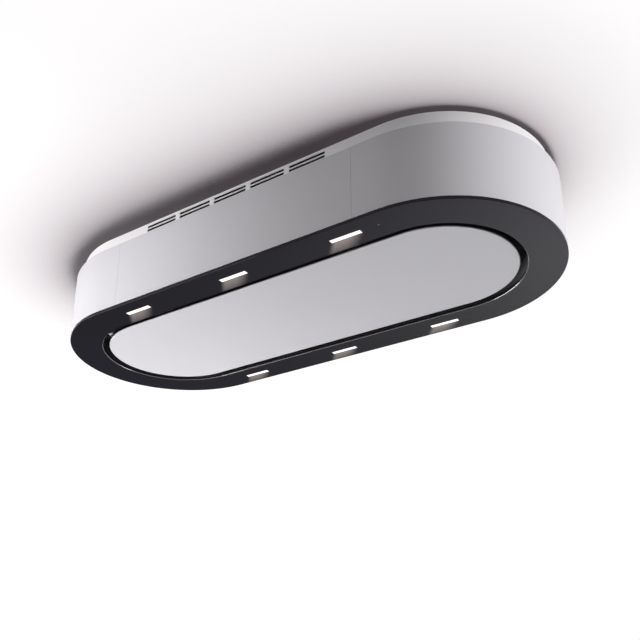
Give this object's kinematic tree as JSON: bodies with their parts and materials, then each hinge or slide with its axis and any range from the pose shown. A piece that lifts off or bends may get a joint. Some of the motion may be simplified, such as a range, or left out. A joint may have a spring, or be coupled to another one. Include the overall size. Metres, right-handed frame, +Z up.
{
  "type": "ceiling range hood",
  "caption": "Long round-ended hood hung flat under a ceiling, with a lit black glass ring, a hinged centre panel and air slots in its plinth.",
  "frame": {"origin": "centre of the face that lies on the ceiling", "axes": "+Z up into the ceiling, X along the hood's length, Y across it"},
  "size_m": [1.2, 0.5, 0.195],
  "materials": {
    "body_paint": "satin light grey paint",
    "plinth_paint": "satin white paint",
    "panel_paint": "satin light grey paint",
    "lip_paint": "satin grey paint",
    "black_glass": "gloss, black on the back",
    "lens": "lit opal lens",
    "zinc_steel": "galvanised",
    "aluminium": "satin",
    "black_plastic": "fine texture",
    "grey_plastic": "fine texture",
    "motor_paint": "satin",
    "charcoal": "matt",
    "shaft_steel": "ground"
  },
  "bodies": {
    "hood": {"ceiling_plate": "zinc_steel", "plinth": "plinth_paint", "hanger_post_1": "zinc_steel", "hanger_post_2": "zinc_steel", "hanger_post_3": "zinc_steel", "hanger_post_4": "zinc_steel", "top_plate": "zinc_steel", "air_box_wall": "zinc_steel", "side_panel_front": "body_paint", "side_panel_rear": "body_paint", "end_shell_left": "body_paint", "end_shell_right": "body_paint", "glass_carrier": "lip_paint", "glass_ring": "black_glass", "lamp_lens_1": "lens", "lamp_lens_2": "lens", "lamp_lens_3": "lens", "lamp_lens_4": "lens", "lamp_lens_5": "lens", "lamp_lens_6": "lens", "lamp_rail_front": "aluminium", "lamp_rail_rear": "aluminium", "receiver_window": "black_plastic", "hinge_bracket_left": "zinc_steel", "hinge_bracket_right": "zinc_steel", "hinge_pin_left": "shaft_steel", "hinge_pin_right": "shaft_steel", "magnet_catch_left": "black_plastic", "magnet_catch_right": "black_plastic", "filter_deck": "zinc_steel", "filter_rail_rear": "zinc_steel", "filter_rail_front": "zinc_steel", "filter_frame_1": "aluminium", "filter_frame_2": "aluminium", "filter_frame_3": "aluminium", "filter_mesh_1": "aluminium", "filter_mesh_2": "aluminium", "filter_mesh_3": "aluminium", "blower_scroll": "zinc_steel", "inlet_ring": "black_plastic", "motor": "motor_paint", "blower_strap_left": "zinc_steel", "blower_strap_right": "zinc_steel", "outlet_duct": "zinc_steel", "charcoal_filter_front": "charcoal", "charcoal_filter_rear": "charcoal", "control_box": "grey_plastic", "control_lid": "grey_plastic", "led_driver": "black_plastic", "terminal_box": "grey_plastic", "cable_gland": "black_plastic"},
    "centre_panel": {"panel_skin": "panel_paint", "panel_backing": "zinc_steel", "hinge_leaf_left": "zinc_steel", "hinge_leaf_right": "zinc_steel"},
    "impeller_wheel": {"impeller": "black_plastic", "motor_shaft": "shaft_steel"},
    "latch_1": {"filter_latch_1": "black_plastic"},
    "latch_2": {"filter_latch_2": "black_plastic"},
    "latch_3": {"filter_latch_3": "black_plastic"}
  },
  "joints": [
    {"name": "panel_hinge", "type": "hinge", "parent": "hood", "child": "centre_panel", "pos_m": [0, -0.1715, -0.185], "axis": [-1, 0, 0], "range_deg": [0, 90]},
    {"name": "impeller_spin", "type": "hinge", "parent": "hood", "child": "impeller_wheel", "pos_m": [0, 0, -0.096], "axis": [0, 0, 1], "continuous": true},
    {"name": "filter_latch_1_slide", "type": "slide", "parent": "hood", "child": "latch_1", "axis": [0, 1, 0], "range_m": [0, 0.007], "stiffness_N_per_m": 300, "springref_m": -0.004},
    {"name": "filter_latch_2_slide", "type": "slide", "parent": "hood", "child": "latch_2", "axis": [0, 1, 0], "range_m": [0, 0.007], "stiffness_N_per_m": 300, "springref_m": -0.004},
    {"name": "filter_latch_3_slide", "type": "slide", "parent": "hood", "child": "latch_3", "axis": [0, 1, 0], "range_m": [0, 0.007], "stiffness_N_per_m": 300, "springref_m": -0.004}
  ]
}
